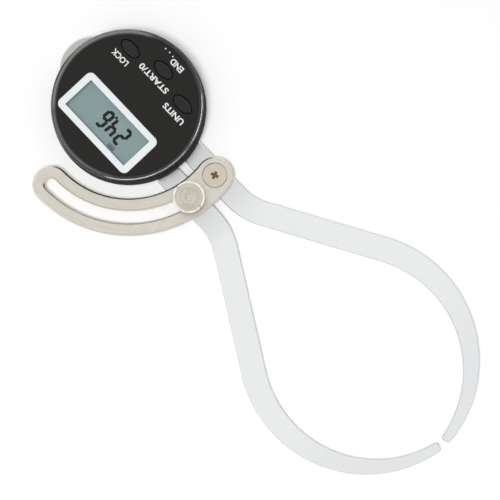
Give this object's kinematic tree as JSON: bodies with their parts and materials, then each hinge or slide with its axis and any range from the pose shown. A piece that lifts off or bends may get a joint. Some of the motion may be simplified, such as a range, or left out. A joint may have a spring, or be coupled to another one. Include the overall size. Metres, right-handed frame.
{
  "type": "digital external caliper gauge",
  "caption": "Outside caliper gauge with two bowed legs, a slotted arc plate with a lock knob, and a round digital display head.",
  "frame": {"origin": "pivot axis of the legs, in the plane of the legs' flat backs, on which the gauge lies", "axes": "+Z out of the display, -Y from the pivot towards the measuring tips, +X towards the fixed leg's side"},
  "size_m": [0.0938, 0.2105, 0.0144],
  "materials": {
    "leg_steel": "fine ground, satin",
    "plate_nickel": "warm nickel plate, lightly brushed",
    "screw_nickel": "nickel plated, turned",
    "knob_nickel": "nickel plated, turned and knurled",
    "fastener_steel": "bright zinc",
    "spring_steel": "dark phosphate",
    "housing_alloy": "die cast, bead blasted",
    "cover_alloy": "turned",
    "shell_black": "high gloss",
    "face_black": "fine matt grain",
    "button_black": "semi gloss",
    "frame_white": "semi gloss",
    "window_clear": "clear",
    "lcd_grey": "grey-green panel",
    "seal_rubber": "matt",
    "board_green": "solder resist",
    "resin_black": "cast drop",
    "switch_metal": "pressed sheet",
    "cell_steel": "plain",
    "contact_nickel": "nickel plated",
    "bush_brass": "turned",
    "rotor_alloy": "turned"
  },
  "bodies": {
    "head": {"fixed_leg": "leg_steel", "arc_plate": "plate_nickel", "plate_spacer": "fastener_steel", "plate_screw": "screw_nickel", "plate_dowel": "fastener_steel", "rear_housing": "housing_alloy", "housing_gasket": "seal_rubber", "front_shell": "shell_black", "face_plate": "face_black", "display_frame": "frame_white", "display_window": "window_clear", "lcd_panel": "lcd_grey", "contact_strips": "seal_rubber", "circuit_board": "board_green", "chip_cap": "resin_black", "key_switches": "switch_metal", "board_screws": "fastener_steel", "battery": "cell_steel", "battery_minus_contact": "contact_nickel", "battery_plus_contact": "contact_nickel", "pivot_bush": "bush_brass", "leg_screws": "fastener_steel", "housing_screws": "fastener_steel"},
    "swing_leg": {"moving_leg": "leg_steel", "pivot_shaft": "fastener_steel", "pivot_screw": "fastener_steel", "retaining_clip": "spring_steel", "wave_washer": "spring_steel", "rotor_hub": "rotor_alloy", "rotor_disc": "board_green", "rotor_screw": "fastener_steel", "lock_stud": "fastener_steel", "knob_washer": "fastener_steel"},
    "knob": {"lock_knob": "knob_nickel"},
    "hold_key": {"hold_button": "button_black"},
    "zero_key": {"zero_button": "button_black"},
    "unit_key": {"unit_button": "button_black"},
    "cover": {"battery_cover": "cover_alloy", "cover_seal": "seal_rubber"}
  },
  "joints": [
    {"name": "leg_swing", "type": "hinge", "parent": "head", "child": "swing_leg", "pos_m": [0, 0, 0], "axis": [0, 0, -1], "range_deg": [-0.8, 79]},
    {"name": "knob_turn", "type": "hinge", "parent": "swing_leg", "child": "knob", "pos_m": [-0.00695, -0.04152, 0.0055], "axis": [0, 0, 1], "range_deg": [0, 180]},
    {"name": "hold_press", "type": "slide", "parent": "head", "child": "hold_key", "axis": [0, 0, -1], "range_m": [0, 0.0005], "stiffness_N_per_m": 600, "springref_m": -0.0003},
    {"name": "zero_press", "type": "slide", "parent": "head", "child": "zero_key", "axis": [0, 0, -1], "range_m": [0, 0.0005], "stiffness_N_per_m": 600, "springref_m": -0.0003},
    {"name": "unit_press", "type": "slide", "parent": "head", "child": "unit_key", "axis": [0, 0, -1], "range_m": [0, 0.0005], "stiffness_N_per_m": 600, "springref_m": -0.0003},
    {"name": "cover_turn", "type": "hinge", "parent": "head", "child": "cover", "pos_m": [0, 0.0206, 0.002], "axis": [0, 0, 1], "range_deg": [0, 60]}
  ]
}
